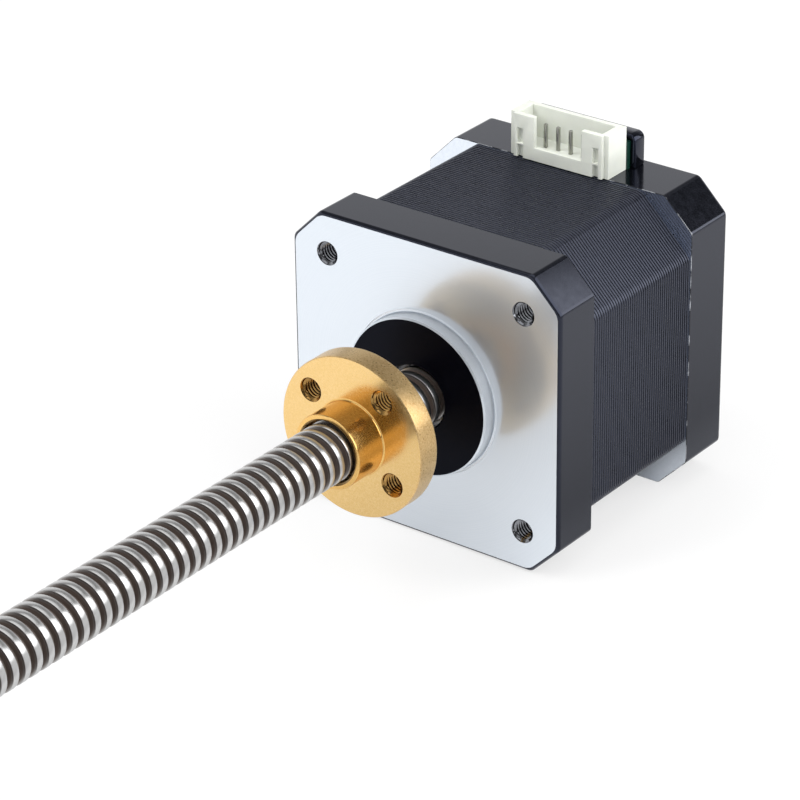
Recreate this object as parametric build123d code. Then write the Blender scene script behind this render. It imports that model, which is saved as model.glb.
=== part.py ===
from build123d import *
import os
from math import cos, pi, radians, sin, sqrt

# Sizes in millimetres. The origin is the centre of the front mounting face, on the shaft's axis.
# The axis is Y: the motor's body lies towards +Y, the lead screw points to -Y, and +Z is up.

# Housing
body_side = 42.3
body_length = 38.5
front_cap_depth = 7.5
rear_cap_depth = 8.55
cap_corner_cut = 4.35  # leg of the flat across each corner
cap_edge_cut = 0.5
front_wall = 3.0
rear_wall = 3.0
bolt_inset = 5.65  # from the body's side to a screw's axis: 31 mm from hole to hole

# Pilot boss round the screw's outlet
boss_diameter = 22.0
boss_height = 2.0
screw_outlet_diameter = 9.0

# Screws that hold the motor together, from the back
thread_diameter = 3.0
thread_core = 2.5  # tapping drill: the motor's own screws and their bores are drawn at it
screw_thread_gap = 0.04
screw_passage_gap = 0.2
screw_grip = 2.3  # length of thread in the front cap
face_thread_depth = 4.5  # of the four holes for the mounting screws
screw_head_diameter = 5.5
screw_head_height = 2.2
screw_head_depth = 0.3  # how far the head lies under the back face

# Magnetic circuit: stator and rotor teeth share one angular pitch
stator_inset = 0.15  # how far the laminations lie inside the caps' sides
stator_corner_cut = 7.6
stator_corner_round = 2.0
rotor_teeth = 50
rotor_inset = 9.75  # from the body's side to the rotor's teeth
air_gap = 0.1
tooth_depth = 0.6
tooth_share = 0.43  # width of a tooth as a share of the pitch
tooth_root = 0.2  # how far a tooth's block reaches into what carries it
pole_count = 8
teeth_per_pole = 6
shoe_thickness = 1.3  # at the neck
shoe_tip = 0.6  # at the shoe's two ends
neck_width = 4.2
back_iron = 3.0
magnet_diameter = 18.0
magnet_thickness = 3.0

# Insulation and winding
insulator_thickness = 0.8
insulator_wall = 0.9  # of the rim and of the lip at each pole
insulator_height = 2.6
insulator_sides = 16
insulator_margin = 0.2
winding_gap = 0.3
winding_side = 2.7
winding_end = 2.6
winding_corner_cut = 1.6
cap_cavity_gap = 0.2

# Bearings
bearing_bore = 5.0
bearing_diameter = 16.0
bearing_width = 5.0
bearing_ring = 1.35
bearing_seat_wall = 2.0
bearing_inset = 0.5  # the front bearing's seat behind the mounting face
seat_gap = 0.01
shield_gap = 0.15
spacer_wall = 1.1
washer_thickness = 0.3
washer_width = 1.2
washer_space = 0.6
rear_plate = 1.3  # metal behind the wave washer
rear_hole_diameter = 7.0

# Lead screw
screw_diameter = 8.0
screw_reach = 100.0  # from the mounting face to the free end
screw_tip_cut = 0.8
shaft_recess = 0.6  # the shaft's end behind the back face

# Nut
nut_flange_diameter = 22.0
nut_flange_thickness = 3.5
nut_hub_diameter = 10.2
nut_hub_length = 5.0
nut_tail_length = 1.5
nut_face = -15.5  # front face of the flange in the stored position
nut_running_gap = 0.05
nut_mouth_cut = 0.4
nut_hole_circle = 16.0
nut_hole_count = 4
nut_hole_turn = 52.6  # turn of the first flange hole from +X towards +Z

# Connector on top of the rear cap
header_shift = 0.25  # centre of the connector along X
header_width = 15.6
header_depth = 4.7
header_height = 6.2
header_wall = 0.8
header_end_wall = 1.2
header_floor = 1.65
header_sill = 1.9
header_notch_width = 7.6
header_plate_width = 14.1
header_step = 0.5
header_overhang = 0.65  # how far the connector stands out over the laminations
header_slot_width = 0.9
header_slot_span = 12.0
header_slot_low = 2.1
header_slot_high = 4.2
header_foot_high = 1.8
pin_pitch = 2.0
pin_count = 6
pin_side = 0.5
pin_setback = 1.7
pin_height = 5.0
pin_level = 0.85
pin_tail = 1.0
board_thickness = 0.8
board_clearance = 0.3
board_sweep = 200.0  # how far the board reaches round the bearing, in degrees
board_ear_width = 15.8
board_ear_height = 3.95  # above the cap's side
slot_clearance = 0.15
pin_hole_gap = 0.1
cover_width = 17.3
cover_depth = 2.3
cover_height = 4.75
cover_wall = 0.75
cover_round = 1.0

# Places along Y
stator_front = front_cap_depth
stator_back = body_length - rear_cap_depth
stator_length = stator_back - stator_front
stator_middle = (stator_front + stator_back) / 2
front_bearing_back = bearing_inset + bearing_width
rear_seat_floor = body_length - rear_plate
rear_bearing_back = rear_seat_floor - washer_space
rear_bearing_front = rear_bearing_back - bearing_width
cup_length = (stator_length - magnet_thickness) / 2
winding_front = stator_front - insulator_thickness
winding_back = stator_back + insulator_thickness
header_front = stator_back - header_overhang
header_back = header_front + header_depth
board_back = header_back + board_thickness
nut_back = nut_face + nut_flange_thickness

# Radii and heights
half_side = body_side / 2
stator_side = body_side - 2 * stator_inset
bolt_reach = half_side - bolt_inset
thread_radius = thread_diameter / 2
passage_radius = thread_radius + screw_passage_gap
rotor_radius = half_side - rotor_inset
bore_radius = rotor_radius + air_gap
slot_root_radius = bore_radius + tooth_depth
shoe_radius = slot_root_radius + shoe_thickness
lip_radius = slot_root_radius + insulator_margin
yoke_radius = stator_side / 2 - back_iron
winding_inner = shoe_radius + winding_gap
winding_half = neck_width / 2 + winding_gap + winding_side
rim_flat = yoke_radius * cos(pi / insulator_sides)
winding_outer = sqrt((rim_flat - insulator_margin) ** 2 - winding_half ** 2)
insulator_radius = yoke_radius + insulator_wall + insulator_margin
cavity_radius = insulator_radius + cap_cavity_gap
tooth_pitch = 360 / rotor_teeth
tooth_width = tooth_share * 2 * pi * rotor_radius / rotor_teeth
shoe_half_angle = (teeth_per_pole - 1) * tooth_pitch / 2 + tooth_pitch * tooth_share / 2
tooth_turns = [(k - (teeth_per_pole - 1) / 2) * tooth_pitch for k in range(teeth_per_pole)]
bearing_radius = bearing_diameter / 2
bearing_boss_radius = bearing_radius + bearing_seat_wall
inner_ring_radius = bearing_bore / 2 + bearing_ring
shaft_radius = bearing_bore / 2

lip_width = 2 * lip_radius * sin(radians(shoe_half_angle))
post_width = 3.0
post_turns = [45, 135]

corners = [(x, z) for x in (-bolt_reach, bolt_reach) for z in (-bolt_reach, bolt_reach)]
pole_angles = [360 / pole_count * k for k in range(pole_count)]


def section_plane(y):
    # A plane across the shaft, seen from the front: X to the right and Z up.
    return Plane(origin=(0, y, 0), x_dir=(1, 0, 0), z_dir=(0, -1, 0))


def prism(section, front, back):
    return extrude(section_plane(back) * section, amount=back - front)


def turned(points):
    # A solid of revolution from (radius, place along Y) points.
    return revolve(make_face(Polyline(*points, close=True)), Axis.Y)


def ring(inner, outer, front, back):
    return turned([(inner, front), (outer, front), (outer, back), (inner, back)])


def rod(radius, front, back, x=0, z=0):
    return prism(Pos(x, z) * Circle(radius), front, back)


def cut_square(side, cut):
    return chamfer(Rectangle(side, side).vertices(), cut)


def polar(radius, turn):
    return (radius * cos(radians(turn)), radius * sin(radians(turn)))


def sector(inner, outer, half_angle):
    # A piece of a ring, centred on the local X direction.
    far = CenterArc((0, 0), outer, -half_angle, 2 * half_angle)
    near = CenterArc((0, 0), inner, -half_angle, 2 * half_angle)
    return make_face([far, near, Line(far @ 0, near @ 0), Line(far @ 1, near @ 1)])


def front_cap():
    section = cut_square(body_side, cap_corner_cut)
    cap = prism(section, 0, front_cap_depth)
    cap = chamfer(cap.faces().sort_by(Axis.Y)[0].edges(), cap_edge_cut)
    cap += rod(boss_diameter / 2, -boss_height, front_wall)
    cap -= ring(bearing_boss_radius, cavity_radius, front_wall, front_cap_depth)
    cap -= rod(bearing_boss_radius, front_bearing_back, front_cap_depth)
    cap -= rod(bearing_radius + seat_gap, bearing_inset, front_cap_depth)
    cap -= rod(screw_outlet_diameter / 2, -boss_height, bearing_inset)
    # The mounting screws come from the face, and the motor's own from behind, into the same bores.
    for x, z in corners:
        cap -= rod(thread_radius, 0, face_thread_depth, x, z)
        cap -= rod(thread_core / 2, face_thread_depth, front_cap_depth, x, z)
    return cap


def rear_cap():
    section = cut_square(body_side, cap_corner_cut)
    cap = prism(section, stator_back, body_length)
    cap = chamfer(cap.faces().sort_by(Axis.Y)[-1].edges(), cap_edge_cut)
    cap -= ring(bearing_boss_radius, cavity_radius, stator_back, body_length - rear_wall)
    cap -= rod(bearing_boss_radius, stator_back, rear_bearing_front)
    cap -= rod(bearing_radius + seat_gap, stator_back, rear_seat_floor)
    cap -= rod(rear_hole_diameter / 2, rear_seat_floor, body_length)
    head_seat = body_length - screw_head_depth - screw_head_height
    for x, z in corners:
        cap -= rod(passage_radius, stator_back, head_seat, x, z)
        cap -= rod(screw_head_diameter / 2 + screw_passage_gap, head_seat, body_length, x, z)
    # Slot in the top wall for the board's ear
    slot_width = board_ear_width + 2 * slot_clearance
    slot_bottom = bearing_boss_radius + board_clearance
    slot_height = half_side - slot_bottom
    slot = Pos(header_shift, slot_bottom + slot_height / 2) * Rectangle(slot_width, slot_height)
    cap -= prism(slot, header_back - slot_clearance, board_back + slot_clearance)
    return cap


def tooth_block(tip, root):
    # A tooth from its tip radius to its root, which may lie inside or outside the tip.
    depth = abs(root - tip)
    return Pos((tip + root) / 2, 0) * Rectangle(depth, tooth_width)


def pole_shoe():
    # The shoe tapers from the pole's neck to its two ends, with flat slot bottoms between teeth.
    near = [polar(slot_root_radius, turn) for turn in [-shoe_half_angle, *tooth_turns, shoe_half_angle]]
    tip = polar(slot_root_radius + shoe_tip, shoe_half_angle)
    far = [tip, (shoe_radius, neck_width / 2), (shoe_radius, -neck_width / 2), (tip[0], -tip[1])]
    return make_face(Polyline(*near, *far, close=True))


def stator_core():
    # Eight poles on a square yoke, each with six teeth on its shoe.
    section = cut_square(stator_side, stator_corner_cut)
    section = fillet(section.vertices(), stator_corner_round)
    section -= Circle(yoke_radius)
    neck_length = yoke_radius + tooth_root - slot_root_radius
    neck_centre = slot_root_radius + neck_length / 2
    pole = Pos(neck_centre, 0) * Rectangle(neck_length, neck_width)
    pole += pole_shoe()
    for turn in tooth_turns:
        pole += Rot(0, 0, turn) * tooth_block(bore_radius, slot_root_radius + tooth_root)
    for angle in pole_angles:
        section += Rot(0, 0, angle) * pole
    core = prism(section, stator_front, stator_back)
    for x, z in corners:
        core -= rod(passage_radius, stator_front, stator_back, x, z)
    return core


def rotor_cup(front, turn):
    # A toothed stack of the rotor, turned by its share of the tooth pitch.
    root_radius = rotor_radius - tooth_depth
    section = RegularPolygon(root_radius, rotor_teeth)
    for k in range(rotor_teeth):
        section += Rot(0, 0, k * tooth_pitch) * tooth_block(rotor_radius, root_radius - tooth_root)
    section -= Circle(shaft_radius + seat_gap)
    return prism(Rot(0, 0, turn) * section, front, front + cup_length)


def end_insulator(inner_face, outward):
    # A moulded plate on one end of the laminations: a rim, a strip on each neck, and a lip at
    # each pole that holds the winding off the teeth.
    def layer(section, height):
        far = inner_face + outward * height
        return prism(section, min(inner_face, far), max(inner_face, far))

    rim = RegularPolygon(insulator_radius, insulator_sides)
    rim -= RegularPolygon(yoke_radius, insulator_sides)
    rim = Rot(0, 0, 180 / insulator_sides) * rim
    strip_start = lip_radius + insulator_wall / 2
    strip_length = yoke_radius - strip_start
    strip = Pos(strip_start + strip_length / 2, 0) * Rectangle(strip_length, neck_width + winding_gap)
    lip = Pos(lip_radius + insulator_wall / 2, 0) * Rectangle(insulator_wall, lip_width)
    plate = layer(rim, insulator_height)
    for angle in pole_angles:
        plate += layer(Rot(0, 0, angle) * strip, insulator_thickness)
        plate += layer(Rot(0, 0, angle) * lip, insulator_height)
    return plate


def rear_insulator():
    # The rear plate also carries the board, on posts that stand up from its rim.
    plate = end_insulator(stator_back, 1)
    post = Pos(insulator_radius - insulator_wall, 0) * Rectangle(insulator_wall / 2, post_width)
    for turn in post_turns:
        plate += prism(Rot(0, 0, turn) * post, stator_back + insulator_height, header_back)
    return plate


def coils():
    # One racetrack coil round the neck of each pole.
    outer_height = winding_back - winding_front + 2 * winding_end
    outer = Rectangle(2 * winding_half, outer_height)
    outer = chamfer(outer.vertices(), winding_corner_cut)
    opening = Rectangle(2 * (winding_half - winding_side), winding_back - winding_front)
    across = Plane(origin=(winding_inner, stator_middle, 0), x_dir=(0, 0, 1), z_dir=(1, 0, 0))
    coil = extrude(across * (outer - opening), amount=winding_outer - winding_inner)
    return Compound([Rot(0, angle, 0) * coil for angle in pole_angles])


def assembly_screws():
    head_top = body_length - screw_head_depth
    head_seat = head_top - screw_head_height
    screw = rod(thread_core / 2 - screw_thread_gap, front_cap_depth - screw_grip, head_seat)
    screw += rod(screw_head_diameter / 2, head_seat, head_top)
    return Compound([Pos(x, 0, z) * screw for x, z in corners])


def bearing_outer_ring(front):
    # The outer ring, closed by the shields that are crimped into it, with the balls inside.
    return ring(inner_ring_radius + shield_gap, bearing_radius, front, front + bearing_width)


def wave_washer():
    # A bowed spring washer: a ring cut from a thin arched band.
    rise = washer_space - washer_thickness
    half = bearing_radius - seat_gap - washer_thickness / 2
    bend = (half ** 2 + rise ** 2) / (2 * rise)
    centre = rear_seat_floor - bend
    band = Circle(bend) - Circle(bend - washer_thickness)
    band = extrude(Plane.XY * Pos(0, centre) * band, amount=bearing_diameter, both=True)
    blank = ring(half - washer_width, half, rear_bearing_back, rear_seat_floor)
    return blank & band


def terminal_board():
    # A half ring over the rear bearing's boss, with an ear that comes out through the cap's top.
    inner = bearing_boss_radius + board_clearance
    ear_top = half_side + board_ear_height
    section = Rot(0, 0, 90) * sector(inner, insulator_radius - insulator_margin, board_sweep / 2)
    ear_height = ear_top - inner
    section += Pos(header_shift, ear_top - ear_height / 2) * Rectangle(board_ear_width, ear_height)
    board = prism(section, header_back, board_back)
    hole = Rectangle(pin_side + pin_hole_gap, pin_side + pin_hole_gap)
    for x in pin_places():
        board -= prism(Pos(x, half_side + pin_level) * hole, header_back, board_back)
    return board


def pin_places():
    return [header_shift + (k - (pin_count - 1) / 2) * pin_pitch for k in range(pin_count)]


def box_between(low, high):
    size = [b - a for a, b in zip(low, high)]
    centre = [(a + b) / 2 for a, b in zip(low, high)]
    return Pos(*centre) * Box(*size)


def header_pin(x):
    # A square wire, up inside the connector and back through the board.
    half = pin_side / 2
    upright_y = header_front + pin_setback
    level = half_side + pin_level
    upright = box_between(
        (x - half, upright_y - half, level - half),
        (x + half, upright_y + half, half_side + pin_height),
    )
    tail = box_between(
        (x - half, upright_y - half, level - half),
        (x + half, board_back + pin_tail, level + half),
    )
    return upright + tail


def header_pins():
    return Compound([header_pin(x) for x in pin_places()])


def header_housing():
    base = half_side
    top = base + header_height
    left = header_shift - header_width / 2
    right = header_shift + header_width / 2
    plate_half = header_plate_width / 2
    inside_front = header_front + header_step + header_wall
    shell = box_between((left, header_front + header_step, base), (right, header_back, top))
    shell += box_between(
        (header_shift - plate_half, header_front, base),
        (header_shift + plate_half, header_back, top),
    )
    shell -= box_between(
        (left + header_end_wall, header_front + header_wall, base + header_floor),
        (right - header_end_wall, header_back - header_wall, top),
    )
    notch_half = header_notch_width / 2
    shell -= box_between(
        (header_shift - notch_half, header_front, base + header_sill),
        (header_shift + notch_half, inside_front, top),
    )
    for side in (-1, 1):
        centre = header_shift + side * header_slot_span / 2
        near = centre - header_slot_width / 2
        far = centre + header_slot_width / 2
        shell -= box_between(
            (near, header_front, base + header_slot_low),
            (far, header_front + header_step, base + header_slot_high),
        )
        shell -= box_between(
            (near, header_front, base),
            (far, header_front + header_step, base + header_foot_high),
        )
    for x in pin_places():
        shell -= header_pin(x)
    return shell


def board_cover():
    # A hood over the pins' tails behind the board, open towards the board.
    left = header_shift - cover_width / 2
    right = header_shift + cover_width / 2
    top = half_side + cover_height
    cover = box_between((left, board_back, half_side), (right, board_back + cover_depth, top))
    uprights = cover.edges().filter_by(Axis.Y).group_by(Axis.Z)[-1]
    cover = fillet(uprights, cover_round)
    cover -= box_between(
        (left + cover_wall, board_back, half_side),
        (right - cover_wall, board_back + cover_depth - cover_wall, top - cover_wall),
    )
    return cover


def lead_screw():
    radius = screw_diameter / 2
    shaft_end = body_length - shaft_recess
    profile = [
        (0, -screw_reach),
        (radius - screw_tip_cut, -screw_reach),
        (radius, screw_tip_cut - screw_reach),
        (radius, bearing_inset),
        (shaft_radius, bearing_inset),
        (shaft_radius, shaft_end),
        (0, shaft_end),
    ]
    return turned(profile)


def lead_nut():
    flange_radius = nut_flange_diameter / 2
    hub_radius = nut_hub_diameter / 2
    hub_front = nut_face - nut_hub_length
    tail_end = nut_back + nut_tail_length
    profile = [
        (0, hub_front),
        (hub_radius, hub_front),
        (hub_radius, nut_face),
        (flange_radius, nut_face),
        (flange_radius, nut_back),
        (hub_radius, nut_back),
        (hub_radius, tail_end),
        (0, tail_end),
    ]
    nut = turned(profile)
    bore = screw_diameter / 2 + nut_running_gap
    mouth = bore + nut_mouth_cut
    opening = [
        (0, hub_front),
        (mouth, hub_front),
        (bore, hub_front + nut_mouth_cut),
        (bore, tail_end),
        (0, tail_end),
    ]
    nut -= turned(opening)
    for k in range(nut_hole_count):
        x, z = polar(nut_hole_circle / 2, nut_hole_turn + 360 / nut_hole_count * k)
        nut -= rod(thread_radius, nut_face, nut_back, x, z)
    return nut


half_pitch = tooth_pitch / 2
pieces = {
    "front_cap": front_cap(),
    "rear_cap": rear_cap(),
    "stator_core": stator_core(),
    "front_insulator": end_insulator(stator_front, -1),
    "rear_insulator": rear_insulator(),
    "coils": coils(),
    "assembly_screws": assembly_screws(),
    "front_bearing_outer_ring": bearing_outer_ring(bearing_inset),
    "front_bearing_inner_ring": ring(
        shaft_radius + seat_gap, inner_ring_radius, bearing_inset, front_bearing_back
    ),
    "rear_bearing_outer_ring": bearing_outer_ring(rear_bearing_front),
    "rear_bearing_inner_ring": ring(
        shaft_radius + seat_gap, inner_ring_radius, rear_bearing_front, rear_bearing_back
    ),
    "wave_washer": wave_washer(),
    "terminal_board": terminal_board(),
    "header_housing": header_housing(),
    "header_pins": header_pins(),
    "board_cover": board_cover(),
    "lead_screw": lead_screw(),
    "front_rotor_cup": rotor_cup(stator_front, 0),
    "rear_rotor_cup": rotor_cup(stator_back - cup_length, half_pitch),
    "rotor_magnet": ring(
        shaft_radius + seat_gap, magnet_diameter / 2, stator_front + cup_length, stator_back - cup_length
    ),
    "front_spacer": ring(
        shaft_radius + seat_gap, shaft_radius + spacer_wall, front_bearing_back, stator_front
    ),
    "rear_spacer": ring(
        shaft_radius + seat_gap, shaft_radius + spacer_wall, stator_back, rear_bearing_front
    ),
    "lead_nut": lead_nut(),
}

os.makedirs("parts", exist_ok=True)
for name, shape in pieces.items():
    export_step(shape, f"parts/{name}.step")
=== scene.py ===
import math
import bmesh
import bpy
import numpy as np
from mathutils import Matrix, Vector
from mathutils.geometry import tessellate_polygon


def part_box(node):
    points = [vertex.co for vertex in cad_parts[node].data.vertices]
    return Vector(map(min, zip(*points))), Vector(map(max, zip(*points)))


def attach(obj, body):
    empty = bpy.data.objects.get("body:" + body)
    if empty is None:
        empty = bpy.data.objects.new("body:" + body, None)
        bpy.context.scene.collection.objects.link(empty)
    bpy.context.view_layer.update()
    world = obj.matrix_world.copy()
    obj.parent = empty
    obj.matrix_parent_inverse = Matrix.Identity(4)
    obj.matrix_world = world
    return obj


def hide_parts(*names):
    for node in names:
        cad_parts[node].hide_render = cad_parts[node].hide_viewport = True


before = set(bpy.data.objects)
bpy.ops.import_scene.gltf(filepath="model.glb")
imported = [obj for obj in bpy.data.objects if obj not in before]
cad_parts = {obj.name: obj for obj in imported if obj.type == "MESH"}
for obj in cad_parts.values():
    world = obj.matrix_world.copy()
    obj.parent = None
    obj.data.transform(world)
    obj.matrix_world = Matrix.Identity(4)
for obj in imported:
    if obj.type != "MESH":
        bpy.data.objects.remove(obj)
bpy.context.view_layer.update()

mm = 0.001
scene = bpy.context.scene


def toLinear(hexColour):
    # sRGB hex to linear light: each channel is c / 12.92 below 0.04045, else ((c + 0.055) / 1.055) to the 2.4
    channels = [int(hexColour[i:i + 2], 16) / 255 for i in (1, 3, 5)]
    return [c / 12.92 if c <= 0.04045 else ((c + 0.055) / 1.055) ** 2.4 for c in channels] + [1.0]


def addNode(tree, kind, settings=None, links=None, onward=()):
    # settings are the node's own options, its sockets' values or a ramp's stops; links are
    # {socket: (node, output)}, and onward lists (output, node, socket). In a map range, socket 0 takes the
    # value, 1 and 2 its range, and 3 and 4 the range it is brought to.
    node = tree.nodes.new(kind)
    for key, value in (settings or {}).items():
        if key == "stops":
            elements = node.color_ramp.elements
            while len(elements) < len(value):
                elements.new(0.5)
            for element, (place, hexColour) in zip(elements, value):
                element.position = place
                element.color = toLinear(hexColour)
        elif isinstance(key, str) and hasattr(node, key):
            setattr(node, key, value)
        else:
            node.inputs[key].default_value = value
    for key, (source, output) in (links or {}).items():
        tree.links.new(source.outputs[output], node.inputs[key])
    for output, target, key in onward:
        tree.links.new(node.outputs[output], target.inputs[key])
    return node


def newMaterial(name, settings):
    # one principled shader; the output node is handed back too, so that another shader can be mixed in
    material = bpy.data.materials.new(name)
    material.use_nodes = True
    tree = material.node_tree
    tree.nodes.clear()
    shader = addNode(tree, "ShaderNodeBsdfPrincipled", settings)
    surface = addNode(tree, "ShaderNodeOutputMaterial", links={"Surface": (shader, "BSDF")})
    return material, tree, shader, surface


def perMetre(sizeMm):
    # texture scale of a pattern whose features are this size in mm
    return 1000 / sizeMm


def patternPoint(tree, stretch=(1, 1, 1)):
    # a number above 1 in the stretch squeezes the pattern along that axis, one below 1 draws it out
    place = addNode(tree, "ShaderNodeTexCoord")
    return addNode(tree, "ShaderNodeMapping", {"Scale": stretch}, {"Vector": (place, "Object")})


def axisRadius(tree):
    # distance from the shaft's axis: the length of the point with its Y taken out
    place = addNode(tree, "ShaderNodeTexCoord")
    flat = addNode(tree, "ShaderNodeVectorMath", {"operation": "MULTIPLY", 1: (1, 0, 1)},
                   {0: (place, "Object")})
    return addNode(tree, "ShaderNodeVectorMath", {"operation": "LENGTH"}, {0: (flat, "Vector")})


def grained(name, settings, size, strength, depth, colours, rough, stretch=(1, 1, 1)):
    # a surface with fine noise of this size in mm: a bump of this depth in mm, and a colour and a
    # roughness that follow it
    material, tree, shader, _ = newMaterial(name, settings)
    point = patternPoint(tree, stretch)
    noise = addNode(tree, "ShaderNodeTexNoise", {"Scale": perMetre(size), "Detail": 3.0},
                    {"Vector": (point, "Vector")})
    addNode(tree, "ShaderNodeBump", {"Strength": strength, "Distance": depth * mm},
            {"Height": (noise, "Fac")}, [("Normal", shader, "Normal")])
    addNode(tree, "ShaderNodeValToRGB", {"stops": colours}, {"Fac": (noise, "Fac")},
            [("Color", shader, "Base Color")])
    addNode(tree, "ShaderNodeMapRange", {1: 0.3, 2: 0.7, 3: rough[0], 4: rough[1]},
            {0: (noise, "Fac")}, [(0, shader, "Roughness")])
    return material


def enamelPaint():
    # die-cast aluminium, sprayed with gloss black enamel: deep, slightly blue black with a soft orange
    # peel, and a cool pale sheen at a slant
    return grained("gloss black enamel on die casting",
                   {"IOR": 1.6, "Specular Tint": toLinear("#ced7f8")},
                   size=0.9, strength=0.06, depth=0.01,
                   colours=[(0.35, "#090a0e"), (0.65, "#0c0d12")], rough=(0.1, 0.15))


def paintedBossFace():
    # the boss's turned front, painted a deep black that gives back little light
    return grained("satin black paint on turned face",
                   {"Specular IOR Level": 0.1, "Specular Tint": toLinear("#c6d1ff")},
                   size=0.5, strength=0.03, depth=0.006,
                   colours=[(0.35, "#010104"), (0.65, "#020207")], rough=(0.3, 0.36))


def wornEdge():
    # the caps' edges towards the stator: the enamel is rubbed off along them to fine bright flecks, about
    # 1.6 mm apart
    material, tree, shader, _ = newMaterial("enamel worn through at the edge", {"Roughness": 0.25})
    point = patternPoint(tree)
    noise = addNode(tree, "ShaderNodeTexNoise", {"Scale": perMetre(1.6), "Detail": 5.0},
                    {"Vector": (point, "Vector")})
    bare = addNode(tree, "ShaderNodeMapRange", {1: 0.5, 2: 0.66, 3: 0.0, 4: 1.0}, {0: (noise, "Fac")},
                   [(0, shader, "Metallic")])
    addNode(tree, "ShaderNodeValToRGB", {"stops": [(0.0, "#090b12"), (1.0, "#c4c7ce")]},
            {"Fac": (bare, 0)}, [("Color", shader, "Base Color")])
    return material


def mirrorMetal():
    # the rear cap's rim round the stator, turned bare with a sharp tool: a clear mirror
    return grained("bright turned aluminium", {"Metallic": 1.0},
                   size=0.6, strength=0.03, depth=0.006,
                   colours=[(0.3, "#d9e0ea"), (0.7, "#e0e7f0")], rough=(0.06, 0.1))


def tappedMetal():
    # cut thread: bare metal, coloured darker than the machined face round it, as painted shade inside the
    # holes
    return grained("cut thread in aluminium", {"Metallic": 1.0},
                   size=0.2, strength=0.08, depth=0.006,
                   colours=[(0.3, "#6f7176"), (0.7, "#909297")], rough=(0.1, 0.16))


def machinedFace():
    # the casting's mounting face, fly-cut bare: cool near-white metal. A smooth share of it mirrors what
    # stands before it, a rough share spreads that to a wide grey haze. The cutter's rings, in mm, are about
    # a pixel apart, as coarse as they need to be to show.
    finish = {"mirrorRough": 0.16, "hazeRough": 0.5, "hazeShare": 0.58, "ring": 0.12}
    material, tree, shader, surface = newMaterial("fly-cut bare aluminium",
                                                  {"Metallic": 1.0, "Roughness": finish["mirrorRough"]})
    haze = addNode(tree, "ShaderNodeBsdfPrincipled", {"Metallic": 1.0, "Roughness": finish["hazeRough"]})
    addNode(tree, "ShaderNodeMixShader", {0: finish["hazeShare"]}, {1: (shader, 0), 2: (haze, 0)},
            [(0, surface, "Surface")])
    radius = axisRadius(tree)
    spread = addNode(tree, "ShaderNodeMath", {"operation": "MULTIPLY", 1: perMetre(finish["ring"])},
                     {0: (radius, "Value")})
    rings = addNode(tree, "ShaderNodeTexNoise", {"noise_dimensions": "1D", "Scale": 1.0, "Detail": 2.0},
                    {"W": (spread, 0)})
    addNode(tree, "ShaderNodeValToRGB", {"stops": [(0.3, "#e0e7ef"), (0.7, "#e6ecf3")]},
            {"Fac": (rings, "Fac")}, [("Color", shader, "Base Color"), ("Color", haze, "Base Color")])
    addNode(tree, "ShaderNodeBump", {"Strength": 0.008, "Distance": 0.004 * mm},
            {"Height": (rings, "Fac")}, [("Normal", shader, "Normal")])
    return material


def laminatedSteel(sheet, front):
    # punched steel sheets under thin black paint: satin dark ribs, a little wavy along each sheet, with a
    # grain drawn 0.3 mm wide and four times as long, so that it shows
    material, tree, shader, _ = newMaterial("painted laminated steel",
                                            {"IOR": 1.57, "Specular Tint": toLinear("#d2daf6")})
    point = patternPoint(tree, (0.25, 1, 0.25))
    noise = addNode(tree, "ShaderNodeTexNoise", {"Scale": perMetre(0.3), "Detail": 2.0},
                    {"Vector": (point, "Vector")})
    addNode(tree, "ShaderNodeValToRGB", {"stops": [(0.3, "#0e0f15"), (0.7, "#181a22")]},
            {"Fac": (noise, "Fac")}, [("Color", shader, "Base Color")])
    # the sheen ends where two sheets meet: the cosine of the place along the stack tells ridge from joint
    parts = addNode(tree, "ShaderNodeSeparateXYZ", links={0: (point, "Vector")})
    turn = addNode(tree, "ShaderNodeMath", {"operation": "MULTIPLY_ADD", 1: 2 * math.pi / (sheet * mm),
                                            2: -2 * math.pi * front / sheet}, {0: (parts, "Y")})
    joint = addNode(tree, "ShaderNodeMath", {"operation": "COSINE"}, {0: (turn, 0)})
    addNode(tree, "ShaderNodeMapRange", {1: 0.15, 2: 0.9, 3: 0.9, 4: 0.05}, {0: (joint, 0)},
            [(0, shader, "Specular IOR Level")])
    addNode(tree, "ShaderNodeMapRange", {1: 0.3, 2: 0.7, 3: 0.24, 4: 0.4}, {0: (noise, "Fac")},
            [(0, shader, "Roughness")])
    addNode(tree, "ShaderNodeBump", {"Strength": 0.3, "Distance": 0.03 * mm},
            {"Height": (noise, "Fac")}, [("Normal", shader, "Normal")])
    return material


def turnedBrass():
    # turned and tumbled brass: pale warm gold, satin, with a speckle drawn 0.2 mm wide, as coarse as it
    # needs to be to show
    return grained("tumbled turned brass", {"Metallic": 1.0}, size=0.2, strength=0.05, depth=0.006,
                   colours=[(0.25, "#e6c07c"), (0.5, "#eac687"), (0.75, "#efcd94")], rough=(0.15, 0.24))


def coarseBrass(name, dark, light, rough):
    # surfaces of the nut left by a coarser cut: duller and browner, with a sandy speckle, drawn 0.22 mm
    # wide so that it shows
    return grained(name, {"Metallic": 1.0}, size=0.22, strength=0.05, depth=0.012,
                   colours=[(0.3, dark), (0.7, light)], rough=rough)


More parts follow.
